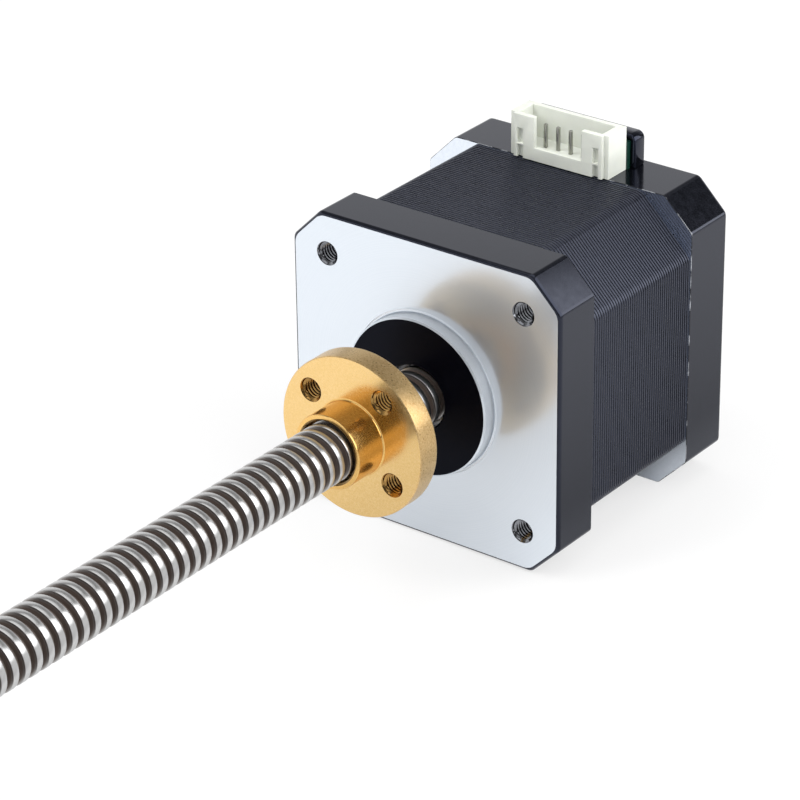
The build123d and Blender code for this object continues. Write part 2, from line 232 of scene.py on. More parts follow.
def rolledScrewSteel(rootRadius, crestRadius):
    # rolled thread: crests rubbed bright, groove left dark brown-grey by its oxide. The share runs from 0
    # at the root to 1 at the crest.
    material, tree, shader, _ = newMaterial("rolled thread steel", {})
    radius = axisRadius(tree)
    share = addNode(tree, "ShaderNodeMapRange",
                    {1: rootRadius * mm, 2: crestRadius * mm, 3: 0.0, 4: 1.0}, {0: (radius, "Value")})
    oxide, rubbed = 0.55, 0.85  # shares at which the oxide ends and the bright crest begins
    addNode(tree, "ShaderNodeValToRGB",
            {"stops": [(0.0, "#72665f"), (oxide, "#6a5e58"), (rubbed, "#a3a09e"), (1.0, "#c8c8c8")]},
            {"Fac": (share, 0)}, [("Color", shader, "Base Color")])
    addNode(tree, "ShaderNodeMapRange", {1: oxide, 2: rubbed, 3: 0.48, 4: 0.3}, {0: (share, 0)},
            [(0, shader, "Roughness")])
    addNode(tree, "ShaderNodeMapRange", {1: oxide, 2: rubbed, 3: 0.5, 4: 1.0}, {0: (share, 0)},
            [(0, shader, "Metallic")])
    point = patternPoint(tree, (0.4, 2, 0.4))
    noise = addNode(tree, "ShaderNodeTexNoise", {"Scale": perMetre(0.4), "Detail": 3.0},
                    {"Vector": (point, "Vector")})
    addNode(tree, "ShaderNodeBump", {"Strength": 0.1, "Distance": 0.01 * mm},
            {"Height": (noise, "Fac")}, [("Normal", shader, "Normal")])
    return material


def mouldedPlastic(name, dark, light, roughness, grainSize=0.5, glow=0.0, tint="#ffffff"):
    # injection-moulded plastic: even colour, very slight texture; glow is the share of light that goes
    # into it and comes out again close by
    return grained(name, {"IOR": 1.52, "Specular Tint": toLinear(tint), "Subsurface Weight": glow,
                          "Subsurface Radius": (0.001, 0.001, 0.0008)},
                   size=grainSize, strength=0.08, depth=0.008,
                   colours=[(0.3, dark), (0.7, light)], rough=(roughness - 0.05, roughness + 0.05))


def groundSteel(name, dark, light, roughness, stretch=(1, 1, 1), size=0.3):
    # ground, drawn or plated metal: bright, with a fine grain that the stretch makes into faint streaks,
    # across an axis that it squeezes and along one that it draws out
    return grained(name, {"Metallic": 1.0}, size=size, strength=0.1, depth=0.006,
                   colours=[(0.3, dark), (0.7, light)], rough=(roughness - 0.06, roughness + 0.06),
                   stretch=stretch)


def copperWinding():
    # enamelled wire, wound in layers: glossy copper-brown ridges, drawn 2.5 mm apart, each several
    # wires wide
    material, tree, shader, _ = newMaterial("enamelled copper winding", {"Metallic": 0.6, "Roughness": 0.28})
    point = patternPoint(tree)
    # the node makes 20 / (2 pi) waves for each unit of its scale, so a size of 8 mm gives ridges 2.5 mm apart
    turns = addNode(tree, "ShaderNodeTexWave", {"wave_type": "RINGS", "rings_direction": "Y",
                                                "Scale": perMetre(8), "Distortion": 0.4},
                    {"Vector": (point, "Vector")})
    # the colour follows the ridges: copper on them and dark brown in the hollows between them, as painted
    # shade
    addNode(tree, "ShaderNodeValToRGB", {"stops": [(0.0, "#5c2410"), (1.0, "#c0662e")]},
            {"Fac": (turns, "Fac")}, [("Color", shader, "Base Color")])
    addNode(tree, "ShaderNodeBump", {"Strength": 0.6, "Distance": 0.1 * mm},
            {"Height": (turns, "Fac")}, [("Normal", shader, "Normal")])
    return material


def circle(radius, steps, x=0.0, z=0.0):
    # points round the shaft's direction: x + r cos t, z + r sin t
    t = np.arange(steps) * 2 * np.pi / steps
    return np.stack([x + radius * np.cos(t), z + radius * np.sin(t)], axis=1)


def octagon(halfSide, cut, roundness, inset=0.0, steps=6):
    # square with cut corners and rounded edges, moved in by the inset: its sides have normals 45 degrees
    # apart, and each corner is an arc about a centre that stays put while the inset shrinks its radius
    k = np.arange(8)
    normal = np.stack([np.cos(k * np.pi / 4), np.sin(k * np.pi / 4)], axis=1)
    reach = np.where(k % 2 == 0, halfSide, (2 * halfSide - cut) / np.sqrt(2))[:, None]
    nextNormal, nextReach = np.roll(normal, -1, axis=0), np.roll(reach, -1, axis=0)
    c = np.cos(np.pi / 4)
    corner = ((reach - c * nextReach) * normal + (nextReach - c * reach) * nextNormal) / (1 - c * c)
    centre = corner - (normal + nextNormal) * roundness / (1 + c)
    t = (k[:, None] + np.linspace(0, 1, steps)[None, :]) * np.pi / 4
    arc = centre[:, None, :] + (roundness - inset) * np.stack([np.cos(t), np.sin(t)], axis=2)
    return arc.reshape(-1, 2)


def atDepth(outline, y):
    # an outline across the shaft, put at its place along it
    return np.stack([outline[:, 0], np.full(len(outline), y), outline[:, 1]], axis=1)


def wall(loops):
    # the surface through a row of equal loops: each quad joins two neighbours on two neighbouring loops
    loops = np.array(loops)
    rows, count = loops.shape[:2]
    index = np.arange(rows * count).reshape(rows, count)
    a, b = index[:-1], index[1:]
    faces = np.stack([a, np.roll(a, -1, axis=1), np.roll(b, -1, axis=1), b], axis=2).reshape(-1, 4)
    return loops.reshape(-1, 3), faces.tolist()


def turnedWall(profile, steps, x=0.0, z=0.0):
    # a profile of (radius, place along the shaft) carried round the shaft, or round a line beside it
    return wall([atDepth(circle(radius, steps, x, z), y) for radius, y in profile])


def quarterArc(radius, y, reach, outward=1, steps=5):
    # a quarter arc of a profile: it leaves the radius by reach (1 - cos t) and comes up to y by
    # reach (1 - sin t)
    t = np.linspace(0, np.pi / 2, steps)
    return [(radius + outward * reach * (1 - math.cos(v)), y - reach * (1 - math.sin(v))) for v in t]


def plate(y, outline, holes=()):
    # a flat face with holes, cut into triangles
    loops = [atDepth(loop, y) for loop in (outline, *holes)]
    points = np.concatenate(loops)
    faces = tessellate_polygon([[Vector(p) for p in loop] for loop in loops])
    return points, [list(face) for face in faces]


def threadWall(x, z, front, back, pitch, section, steps, envelope, start=0.0):
    # a screw surface: rows follow the helix y = pitch * t / 2 pi, and each pitch repeats the section's
    # (share of pitch, radius) points. Rows past the ends are clamped to them, and the envelope gives
    # the radius its limit near the ends.
    share, radius = np.array(section).T
    turns = int(np.ceil((back - front) / pitch)) + 3
    along = (np.arange(turns)[:, None] - 2 + share[None, :]).ravel() * pitch + front + start
    radius = np.tile(radius, turns)
    t = np.linspace(0, 2 * np.pi, steps + 1)
    y = along[:, None] + pitch * (1 - t[None, :] / (2 * np.pi))
    r = np.broadcast_to(radius[:, None], y.shape)
    yHeld = np.clip(y, front, back)
    r = envelope(r, yHeld)
    points = np.stack([x + r * np.cos(t), yHeld, z + r * np.sin(t)], axis=2)
    rows, count = points.shape[:2]
    index = np.arange(rows * count).reshape(rows, count)
    a, b = index[:-1], index[1:]
    faces = np.stack([a[:, :-1], a[:, 1:], b[:, 1:], b[:, :-1]], axis=2).reshape(-1, 4)
    return points.reshape(-1, 3), faces.tolist()


# in mm and degrees: points nearer than doubles are one, shorter edges than sliver go, facets of a solid
# that turn less than flat are one face, and a bevel rounds the edges that turn more than bevelFrom
meshing = {"doubles": 0.002, "sliver": 0.0005, "solidDoubles": 0.001, "flat": 1, "bevelFrom": 30}


def makePiece(name, parts, body, nodes, sharp=35):
    # parts are (surface, material, smooth); they are joined, their doubles merged and their normals
    # turned outwards. Measures come in mm and go into the mesh in metres.
    points, faces, materials, numbers, smooth = [], [], [], [], []
    start = 0
    for (vertices, polygons), material, isSmooth in parts:
        if material not in materials:
            materials.append(material)
        points.append(np.asarray(vertices) * mm)
        faces += [[start + i for i in polygon] for polygon in polygons]
        numbers += [materials.index(material)] * len(polygons)
        smooth += [isSmooth] * len(polygons)
        start += len(vertices)
    mesh = bpy.data.meshes.new(name)
    mesh.from_pydata(np.concatenate(points).tolist(), [], faces)
    mesh.polygons.foreach_set("material_index", numbers)
    mesh.polygons.foreach_set("use_smooth", smooth)
    form = bmesh.new()
    form.from_mesh(mesh)
    bmesh.ops.remove_doubles(form, verts=form.verts, dist=meshing["doubles"] * mm)
    bmesh.ops.dissolve_degenerate(form, edges=form.edges, dist=meshing["sliver"] * mm)
    bmesh.ops.recalc_face_normals(form, faces=form.faces)
    form.to_mesh(mesh)
    form.free()
    kept = np.empty(len(mesh.polygons), dtype=bool)
    mesh.polygons.foreach_get("use_smooth", kept)
    mesh.set_sharp_from_angle(angle=math.radians(sharp))
    mesh.polygons.foreach_set("use_smooth", kept)
    piece = bpy.data.objects.new(name, mesh)
    scene.collection.objects.link(piece)
    # large faces decide the shading where they meet small ones, so that flats look flat
    piece.modifiers.new("flats kept flat", "WEIGHTED_NORMAL").keep_sharp = True
    for material in materials:
        mesh.materials.append(material)
    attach(piece, body)
    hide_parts(*nodes)


def softenedCopy(name, node, rounding, material, body):
    # a copy of a node's solid, its triangles merged to whole faces, with rounded edges; the rounding is
    # (width in mm, steps)
    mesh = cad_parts[node].data.copy()
    mesh.name = name
    form = bmesh.new()
    form.from_mesh(mesh)
    bmesh.ops.remove_doubles(form, verts=form.verts, dist=meshing["solidDoubles"] * mm)
    bmesh.ops.dissolve_limit(form, angle_limit=math.radians(meshing["flat"]), verts=form.verts,
                             edges=form.edges)
    bmesh.ops.recalc_face_normals(form, faces=form.faces)
    form.to_mesh(mesh)
    form.free()
    mesh.polygons.foreach_set("use_smooth", [True] * len(mesh.polygons))
    mesh.materials.clear()
    mesh.materials.append(material)
    piece = bpy.data.objects.new(name, mesh)
    scene.collection.objects.link(piece)
    bevel = piece.modifiers.new("rounded edges", "BEVEL")
    bevel.width, bevel.segments = rounding[0] * mm, rounding[1]
    bevel.limit_method, bevel.angle_limit = "ANGLE", math.radians(meshing["bevelFrom"])
    bevel.harden_normals = True
    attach(piece, body)
    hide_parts(node)


def bounds(node):
    # low and high corner of a node's box, in mm
    low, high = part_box(node)
    return np.array(low) / mm, np.array(high) / mm


# the motor's measures, read from the frame
frontLow, frontHigh = bounds("front_cap")
rearLow, rearHigh = bounds("rear_cap")
statorLow, statorHigh = bounds("stator_core")
nutLow, nutHigh = bounds("lead_nut")
screwLow, screwHigh = bounds("lead_screw")

enamel, bareMetal = enamelPaint(), machinedFace()
brass, worn = turnedBrass(), wornEdge()

# what both caps share
cap = {"cut": 4.35, "round": 0.85, "edgeDepth": 0.6, "edgeInset": 0.42, "faceRound": 2.2, "cavity": 19.3,
       "bearingBoss": 10.0, "seat": 8.01, "edgeSteps": 6, "rimEdge": 0.08, "boltReach": 15.5}
# an M3 thread; outerTo, innerFrom and innerTo are shares of its pitch
tapped = {"pitch": 0.5, "major": 1.5, "minor": 1.22, "mouth": 1.68, "exit": 1.5, "steps": 40,
          "outerTo": 0.12, "innerFrom": 0.45, "innerTo": 0.62}
boltSides = (-cap["boltReach"], cap["boltReach"])
holePlaces = [(x, z) for x in boltSides for z in boltSides]


def capFace():
    # outline of the cap's flat end, with rounder corners than the cap's sides have
    return octagon(frontHigh[0], cap["cut"], cap["faceRound"] + cap["edgeInset"], cap["edgeInset"])


def capEdge(y, outward):
    # the rounded outer edge: it goes from the sides' outline to the face's by 1 - cos t, and out by sin t
    sides, face = octagon(frontHigh[0], cap["cut"], cap["round"]), capFace()
    t = np.linspace(0, np.pi / 2, cap["edgeSteps"])
    places = y + outward * cap["edgeDepth"] * (np.sin(t) - 1)
    return [atDepth(sides + (face - sides) * (1 - c), p) for c, p in zip(np.cos(t), places)]


def capRim(y, inward):
    # the small flat edge where the cap's side meets its rim towards the stator
    inset, side = cap["rimEdge"], (frontHigh[0], cap["cut"], cap["round"])
    return [atDepth(octagon(*side, inset), y), atDepth(octagon(*side), y + inward * inset)]


def tappedHole(x, z, front, back):
    # metric thread cut into the wall, opened to a cone at both ends: the radius is never less than the
    # mouth's or the exit's, less the distance from that end
    section = [(0.0, tapped["major"]), (tapped["outerTo"], tapped["major"]),
               (tapped["innerFrom"], tapped["minor"]), (tapped["innerTo"], tapped["minor"])]

    def cones(r, y):
        return np.maximum(r, np.maximum(tapped["mouth"] - (y - front), tapped["exit"] - (back - y)))

    return threadWall(x, z, front, back, tapped["pitch"], section, tapped["steps"], cones)


def frontCap():
    # profiles of (radius, place) turned round the shaft, flat plates that close them, the rounded octagon
    # outside, and a thread with a drilled bore behind it at each corner
    boss = {"radius": 11.0, "face": 10.8, "outlet": 4.5, "reliefRadius": 11.45, "reliefDepth": 0.25,
            "fillet": 0.25, "wall": 3.0, "bossBack": 5.5, "seatFloor": 0.5, "bore": 1.25,
            "tapDepth": 4.5, "drillCone": 0.25, "outletEdge": 0.25, "faceEdge": 0.2, "steps": 160}
    face, rim, top = 0.0, frontHigh[1], frontLow[1]
    steps = boss["steps"]
    mouths = [circle(tapped["mouth"], tapped["steps"], x, z) for x, z in holePlaces]
    bores = [circle(boss["bore"], tapped["steps"], x, z) for x, z in holePlaces]
    rimEdge = capRim(rim, -1)
    outside = [rimEdge[-1], *capEdge(face, -1)]
    inside = [(cap["cavity"], rim), (cap["cavity"], boss["wall"]), (cap["bearingBoss"], boss["wall"]),
              (cap["bearingBoss"], boss["bossBack"]), (cap["seat"], boss["bossBack"]),
              (cap["seat"], boss["seatFloor"]), (boss["outlet"], boss["seatFloor"])]
    outletMouth = boss["outlet"] + boss["outletEdge"]
    outletWall = [(boss["outlet"], boss["seatFloor"]), (boss["outlet"], top + boss["outletEdge"]),
                  (outletMouth, top)]
    bossFace = [(outletMouth, top), (boss["face"], top)]
    floor = boss["reliefDepth"]
    bossSide = [(boss["face"], top), (boss["radius"], top + boss["faceEdge"]),
                *quarterArc(boss["radius"], floor, boss["fillet"]),
                (boss["reliefRadius"], floor), (boss["reliefRadius"], face)]
    black, thread = paintedBossFace(), tappedMetal()
    turned = groundSteel("turned aluminium boss", "#e2e5e8", "#ebedf0", 0.44, (1, 4, 1))
    parts = [
        (wall(outside), enamel, True),
        (wall(rimEdge), worn, False),
        (plate(rim, octagon(frontHigh[0], cap["cut"], cap["round"], cap["rimEdge"]),
               [circle(cap["cavity"], steps), *bores]), enamel, False),
        (turnedWall(inside, steps), enamel, True),
        (turnedWall(outletWall, steps), enamel, True),
        (turnedWall(bossFace, steps), black, False),
        (turnedWall(bossSide[:2], steps), bareMetal, True),
        (turnedWall(bossSide[1:3], steps), turned, True),
        (turnedWall(bossSide[2:-2], steps), bareMetal, True),
        (turnedWall(bossSide[-3:], steps), turned, True),
        (plate(face, capFace(), [circle(boss["reliefRadius"], steps), *mouths]), bareMetal, False),
    ]
    drilled = [(tapped["exit"], boss["tapDepth"]), (boss["bore"], boss["tapDepth"] + boss["drillCone"]),
               (boss["bore"], rim)]
    for x, z in holePlaces:
        parts.append((tappedHole(x, z, face, boss["tapDepth"]), thread, True))
        parts.append((turnedWall(drilled, tapped["steps"], x, z), thread, True))
    makePiece("front_cap_finished", parts, "motor", ["front_cap"])


def rearCap():
    # turned profiles, plates and the rounded octagon again, with a stepped screw hole at each corner
    back = {"wall": 3.0, "bossFront": 31.6, "seatFloor": 37.2, "hole": 3.5, "passage": 1.7,
            "headSeat": 36.0, "recess": 2.95, "edge": 0.2, "steps": 128, "holeSteps": 48}
    rim, end = rearLow[1], rearHigh[1]
    edge, steps, holeSteps = back["edge"], back["steps"], back["holeSteps"]
    rimEdge = capRim(rim, 1)
    outside = [rimEdge[-1], *capEdge(end, 1)]
    floor = end - back["wall"]
    inside = [(cap["cavity"], rim), (cap["cavity"], floor), (cap["bearingBoss"], floor),
              (cap["bearingBoss"], back["bossFront"]), (cap["seat"], back["bossFront"]),
              (cap["seat"], back["seatFloor"]), (back["hole"], back["seatFloor"]),
              (back["hole"], end - edge), (back["hole"] + edge, end)]
    passages = [circle(back["passage"], holeSteps, x, z) for x, z in holePlaces]
    recesses = [circle(back["recess"] + edge, holeSteps, x, z) for x, z in holePlaces]
    parts = [
        (wall(outside), enamel, True),
        (wall(rimEdge), worn, False),
        (plate(rim, octagon(frontHigh[0], cap["cut"], cap["round"], cap["rimEdge"]),
               [circle(cap["cavity"], steps), *passages]), mirrorMetal(), False),
        (turnedWall(inside, steps), enamel, True),
        (plate(end, capFace(), [circle(back["hole"] + edge, steps), *recesses]), enamel, False),
    ]
    screwHole = [(back["passage"], rim), (back["passage"], back["headSeat"]),
                 (back["recess"], back["headSeat"]), (back["recess"], end - edge),
                 (back["recess"] + edge, end)]
    parts += [(turnedWall(screwHole, holeSteps, x, z), enamel, True) for x, z in holePlaces]
    makePiece("rear_cap_finished", parts, "motor", ["rear_cap"])


def poleOutline(core):
    # one pole from slot to slot, in its own direction, then turned to all the poles' places
    neck, yoke, bore, root = core["neck"] / 2, core["yoke"], core["bore"], core["root"]
    pitch = 2 * np.pi / core["rotorTeeth"]
    half = core["toothWidth"] / 2
    turns = (np.arange(core["teeth"]) - (core["teeth"] - 1) / 2) * pitch
    shoeHalf = abs(turns[0]) + core["toothShare"] * pitch / 2
    tooth = np.array([(root, -half), (bore, -half), (bore, half), (root, half)])
    c, s = np.cos(turns)[:, None], np.sin(turns)[:, None]
    teeth = np.stack([tooth[:, 0] * c - tooth[:, 1] * s, tooth[:, 0] * s + tooth[:, 1] * c], axis=2)
    tip = np.array([np.cos(shoeHalf), np.sin(shoeHalf)]) * (root + core["shoeTip"])
    arc = np.linspace(-np.pi / core["poles"], -np.arcsin(neck / yoke), core["yokeSteps"])
    before = np.concatenate([
        np.stack([yoke * np.cos(arc), yoke * np.sin(arc)], axis=1),
        [(root + core["shoe"], -neck), (tip[0], -tip[1])],
    ])
    after = (before * [1, -1])[::-1][:-1]
    pole = np.concatenate([before, teeth.reshape(-1, 2), after])
    turn = np.arange(core["poles"]) * 2 * np.pi / core["poles"]
    c, s = np.cos(turn)[:, None], np.sin(turn)[:, None]
    return np.stack([pole[:, 0] * c - pole[:, 1] * s, pole[:, 0] * s + pole[:, 1] * c], axis=2).reshape(-1, 2)


def statorCore():
    # an octagon outside and the poles' outline inside, both carried straight back, with plates at the ends;
    # the sheets are drawn 0.5 mm thick, as thick as they need to be to show
    core = {"cut": 7.6, "round": 2.0, "sheet": 0.5, "groove": 0.14, "rowsPerSheet": 6, "neck": 4.2,
            "yoke": 18.0, "bore": 11.5, "root": 12.1, "shoe": 1.3, "shoeTip": 0.6, "teeth": 6, "poles": 8,
            "rotorTeeth": 50, "toothWidth": 0.616, "toothShare": 0.43, "passage": 1.7, "cornerSteps": 8,
            "yokeSteps": 6, "holeSteps": 40}
    front, back, side = statorLow[1], statorHigh[1], statorHigh[0]
    sheets = round((back - front) / core["sheet"])
    rows = np.linspace(0, 1, sheets * core["rowsPerSheet"] + 1)
    # ribs: the outline goes in by the groove's depth where two sheets meet, as the fourth power of a cosine
    groove = core["groove"] * np.cos(np.pi * rows * sheets) ** 4

    def outline(inset):
        return octagon(side, core["cut"], core["round"], inset, core["cornerSteps"])

    ribs = [atDepth(outline(g), front + (back - front) * v) for g, v in zip(groove, rows)]
    rim, inside = outline(core["groove"]), poleOutline(core)
    holes = [circle(core["passage"], core["holeSteps"], x, z) for x, z in holePlaces]
    steel = laminatedSteel(core["sheet"], front)
    parts = [
        (wall(ribs), steel, True),
        (plate(front, rim, [inside, *holes]), steel, False),
        (plate(back, rim, [inside, *holes]), steel, False),
    ]
    parts += [(wall([atDepth(loop, front), atDepth(loop, back)]), steel, True) for loop in (inside, *holes)]
    makePiece("stator_core_finished", parts, "motor", ["stator_core"], 60)


def leadScrew():
    # a trapezoidal section carried along its helix, cut off at the tip's cone and at the shoulder, and a
    # turned journal behind it. soft rounds the thread's corners: a share of the pitch along the screw, and
    # mm of radius.
    screw = {"crest": 3.98, "root": 3.0, "pitch": 2.0, "crestWidth": 0.94, "flank": 0.2, "steps": 96,
             "start": 1.13, "shoulder": 0.4, "journal": 2.495, "tipCut": 0.8, "soft": 0.03,
             "journalFrom": 0.5, "journalEdge": 0.4}
    front, end = screwLow[1], screwHigh[1]
    crest, root, pitch = screw["crest"], screw["root"], screw["pitch"]
    a, b, soft = screw["crestWidth"] / pitch, screw["flank"] / pitch, screw["soft"]
    section = [(0.0, crest - soft), (soft, crest), (a - soft, crest), (a, crest - soft),
               (a + b - soft, root + 3 * soft), (a + b + soft, root), (1 - b - soft, root),
               (1 - b + soft, root + 3 * soft)]

    def ends(r, y):
        limit = np.minimum(crest, root + (y - front) * (crest - root) / screw["tipCut"])
        return np.where(y >= screw["shoulder"], root, np.minimum(r, limit))

    thread = threadWall(0, 0, front, screw["shoulder"], pitch, section, screw["steps"], ends, screw["start"])
    journal, edge = screw["journal"], screw["journalEdge"]
    tail = [(root, screw["shoulder"]), (root, screw["journalFrom"]), (journal, screw["journalFrom"]),
            (journal, end - edge), (journal - edge, end)]
    shaft = groundSteel("ground shaft steel", "#b9bcc0", "#d3d5d8", 0.22, (1, 12, 1))
    parts = [
        (thread, rolledScrewSteel(root, crest), True),
        (turnedWall(tail, screw["steps"]), shaft, True),
        (plate(front, circle(root, screw["steps"])), shaft, False),
        (plate(end, circle(journal - edge, screw["steps"])), shaft, False),
    ]
    makePiece("lead_screw_threaded", parts, "rotor", ["lead_screw"], 40)


def leadNut():
    # profiles of hub, rim, tail and bore turned round the shaft, two plates with holes between them, and
    # four threads on a circle. recessFrom, recessTo and boreFrom lie that deep in the hub's end, boreEdge
    # in the other end; knuckle is the share of an edge at which its middle point lies.
    nut = {"flange": 11.0, "hub": 5.1, "bore": 4.06, "recess": 4.3, "mouth": 4.55, "edge": 0.12,
           "hubEdge": 0.2, "backEdge": 0.35, "fillet": 0.25, "circle": 8.0, "firstHole": 52.6, "steps": 160,
           "tail": 1.5, "flangeDepth": 3.5, "recessFrom": 0.2, "recessTo": 1.5, "boreFrom": 1.7,
           "boreEdge": 0.5, "knuckle": 0.3}
    tip, end = nutLow[1], nutHigh[1]
    back = end - nut["tail"]
    face = back - nut["flangeDepth"]
    edge, fillet, steps = nut["edge"], nut["fillet"], nut["steps"]
    hubEdge, backEdge = nut["hubEdge"], nut["backEdge"]
    hubKnuckle, backKnuckle = nut["knuckle"] * hubEdge, nut["knuckle"] * backEdge
    hub = [(nut["mouth"], tip), (nut["hub"] - hubEdge, tip), (nut["hub"] - hubKnuckle, tip + hubKnuckle),
           (nut["hub"], tip + hubEdge), *quarterArc(nut["hub"], face, fillet)]
    rim = [(nut["flange"] - edge, face), (nut["flange"], face + edge), (nut["flange"], back - backEdge),
           (nut["flange"] - backKnuckle, back - backKnuckle), (nut["flange"] - backEdge, back)]
    tail = [(nut["hub"], back), (nut["hub"], end - edge), (nut["hub"] - edge, end), (nut["mouth"], end)]
    bore = [(nut["mouth"], tip), (nut["recess"], tip + nut["recessFrom"]),
            (nut["recess"], tip + nut["recessTo"]), (nut["bore"], tip + nut["boreFrom"]),
            (nut["bore"], end - nut["boreEdge"]), (nut["mouth"], end)]
    angles = np.radians(nut["firstHole"] + 90 * np.arange(4))
    places = list(zip(nut["circle"] * np.cos(angles), nut["circle"] * np.sin(angles)))
    mouths = [circle(tapped["mouth"], tapped["steps"], x, z) for x, z in places]
    exits = [circle(tapped["exit"], tapped["steps"], x, z) for x, z in places]
    coarse = coarseBrass("coarsely turned brass", "#cfa76c", "#e8c994", (0.26, 0.4))
    browned = coarseBrass("browned turned brass", "#e2b368", "#f0c67e", (0.17, 0.26))
    # the thread in the holes gets darker brass than the rest of the nut: painted shade inside the holes
    thread = coarseBrass("cut thread in brass", "#a37d47", "#bd9558", (0.14, 0.2))
    parts = [
        (turnedWall(hub, steps), browned, True),
        (plate(face, circle(nut["flange"] - edge, steps), [circle(nut["hub"] + fillet, steps), *mouths]),
         brass, False),
        (turnedWall(rim, steps), coarse, True),
        (plate(back, circle(nut["flange"] - backEdge, steps), [circle(nut["hub"], steps), *exits]),
         coarse, False),
        (turnedWall(tail, steps), coarse, True),
        (turnedWall(bore, steps), coarse, True),
    ]
    parts += [(tappedHole(x, z, face, back), thread, True) for x, z in places]
    makePiece("lead_nut_threaded", parts, "nut", ["lead_nut"], 30)


def assemblyScrews():
    # the four long screws: a profile turned round each one's line, and in its head a cross made of one arm
    # turned to four quarters, which narrows downwards to the share baseShare
    screw = {"shank": 1.21, "head": 2.75, "edge": 0.35, "seat": 36.0, "cross": 1.5, "arm": 0.33, "depth": 1.1,
             "baseShare": 0.55, "tipEdge": 0.2, "steps": 48}
    front, top = (float(v[1]) for v in bounds("assembly_screws"))
    tip, steps = screw["shank"] - screw["tipEdge"], screw["steps"]
    profile = [(tip, front), (screw["shank"], front + screw["tipEdge"]), (screw["shank"], screw["seat"]),
               (screw["head"], screw["seat"]), *quarterArc(screw["head"], top, screw["edge"], -1)]
    long, thin = screw["cross"], screw["arm"]
    arm = np.array([(long, -thin), (long, thin), (thin, thin)])
    quarter = np.array([(0, 1), (-1, 0)])
    cross = np.concatenate([arm @ np.linalg.matrix_power(quarter, k) for k in range(4)])
    zinc = groundSteel("zinc plated screw", "#a9abad", "#c6c8ca", 0.3)
    parts = []
    for x, z in holePlaces:
        mouth, base = cross + (x, z), cross * screw["baseShare"] + (x, z)
        parts += [
            (turnedWall(profile, steps, x, z), zinc, True),
            (plate(front, circle(tip, steps, x, z)), zinc, False),
            (plate(top, circle(screw["head"] - screw["edge"], steps, x, z), [mouth]), zinc, False),
            (wall([atDepth(mouth, top), atDepth(base, top - screw["depth"])]), zinc, False),
            (plate(top - screw["depth"], base), zinc, False),
        ]
    makePiece("assembly_screws_cross", parts, "motor", ["assembly_screws"])


frontCap()
rearCap()
assemblyScrews()
print("caps made")
statorCore()
print("stator made")
leadScrew()
leadNut()
print("screw and nut made")

# rounding of the connector pieces' edges: width in mm and steps
rounded = {"housing": (0.15, 3), "cover": (0.2, 3), "pins": (0.14, 2)}
ivory = mouldedPlastic("ivory nylon", "#dbded5", "#e1e4db", 0.38, 2.0, glow=0.25)
glossBlack = mouldedPlastic("gloss black moulding", "#08090d", "#0a0b10", 0.1, tint="#c6d1ff")
softenedCopy("header_housing_moulded", "header_housing", rounded["housing"], ivory, "motor")
softenedCopy("board_cover_moulded", "board_cover", rounded["cover"], glossBlack, "motor")
tinned = groundSteel("tinned pin", "#a2a29c", "#b6b6ae", 0.3, (1, 1, 0.1))
softenedCopy("header_pins_formed", "header_pins", rounded["pins"], tinned, "motor")

blackNylon = mouldedPlastic("black nylon", "#101012", "#17171a", 0.5)
greenBoard = mouldedPlastic("green solder resist on glass board", "#0b2c24", "#103a2f", 0.3, 0.8)
ringSteel = groundSteel("ground bearing steel", "#b4b7bb", "#cfd2d6", 0.18, (8, 1, 8))
springSteel = groundSteel("blue spring steel", "#6a7078", "#848b94", 0.32)
coreSteel = groundSteel("ground rotor steel", "#83868b", "#a2a5a9", 0.34, (1, 20, 1), 0.5)
magnetPlate = groundSteel("nickel plated magnet", "#9b9da0", "#b8babd", 0.2)
carried = {
    "front_insulator": blackNylon, "rear_insulator": blackNylon, "coils": copperWinding(),
    "front_bearing_outer_ring": ringSteel, "front_bearing_inner_ring": ringSteel,
    "rear_bearing_outer_ring": ringSteel, "rear_bearing_inner_ring": ringSteel,
    "wave_washer": springSteel, "terminal_board": greenBoard,
    "front_rotor_cup": coreSteel, "rear_rotor_cup": coreSteel, "rotor_magnet": magnetPlate,
    "front_spacer": brass, "rear_spacer": brass,
}
for node, material in carried.items():
    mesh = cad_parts[node].data
    mesh.materials.clear()
    mesh.materials.append(material)
print("materials given to", len(carried), "carried nodes")


# the studio in metres; floorGap in mm. A lamp is (name, place, target, width, height, watts, mirrored)
studio = {"floorSize": 4.0, "floorGap": 0.01, "floorHex": "#f4f4f4", "glow": 1.1, "ownLight": 0.65,
          "glossyLight": 0.55, "skyDiffuse": 0.5, "skyUp": (0, 0.1, 1), "sheetReach": 0.06,
          "skyLevels": [(0.46, "#ffffff"), (0.5, "#e0e0e0"), (0.57, "#cccccc"), (0.7, "#7c7c7c")],
          "rightFrom": 0.2, "rightTo": 0.4, "rightLevel": 0.12, "underX": (0.021, 0.028),
          "underY": (0.01, 0.0),
          "sheetLevels": [(0.0, "#ffffff"), (0.25, "#ffffff"), (0.4, "#e0e0e0"), (0.5, "#e0e0e0"),
                          (0.64, "#fcfcfc"), (0.76, "#bcbcbc"), (1.0, "#d8d8d8")],
          "lamps": [("key", (-0.55, -0.55, 0.75), (0, 0, 0), 0.7, 0.7, 7.0, False),
                    ("top", (0.0, 0.0, 0.95), (0, 0, 0), 1.1, 1.0, 3.5, True),
                    ("side", (0.15, 0.07, 0.1), (0, 0.07, 0.1), 0.34, 0.16, 0.45, True)]}


